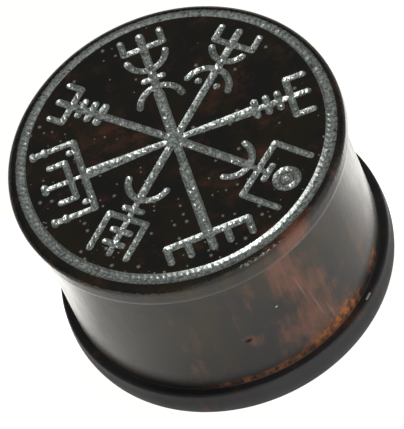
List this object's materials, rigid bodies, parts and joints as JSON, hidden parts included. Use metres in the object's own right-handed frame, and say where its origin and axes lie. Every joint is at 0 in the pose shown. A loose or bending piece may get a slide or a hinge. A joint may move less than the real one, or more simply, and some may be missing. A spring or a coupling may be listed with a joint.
{
  "type": "ear gauge plug",
  "caption": "Double-flared ear gauge plug of dark wood, its round face engraved with a ring and a traditional compass stave filled with silver-coloured resin.",
  "frame": {"origin": "centre of the back face, which the plug stands on", "axes": "+Z along the plug's axis, out of the engraved face; +Y the way the stave's north arm points"},
  "size_m": [0.017, 0.017, 0.0115],
  "materials": {
    "wood": "near-black rosewood with red-brown growth bands, oiled and polished, open pores",
    "filling": "silver-coloured metal powder set in resin, dished and granular"
  },
  "bodies": {
    "root": {"plug_body": "wood", "ring_inlay": "filling", "stave_inlay": "filling", "eye_ring_inlay": "filling", "eye_dot_inlay": "filling", "left_dot_inlay": "filling", "right_dot_inlay": "filling"}
  },
  "joints": []
}
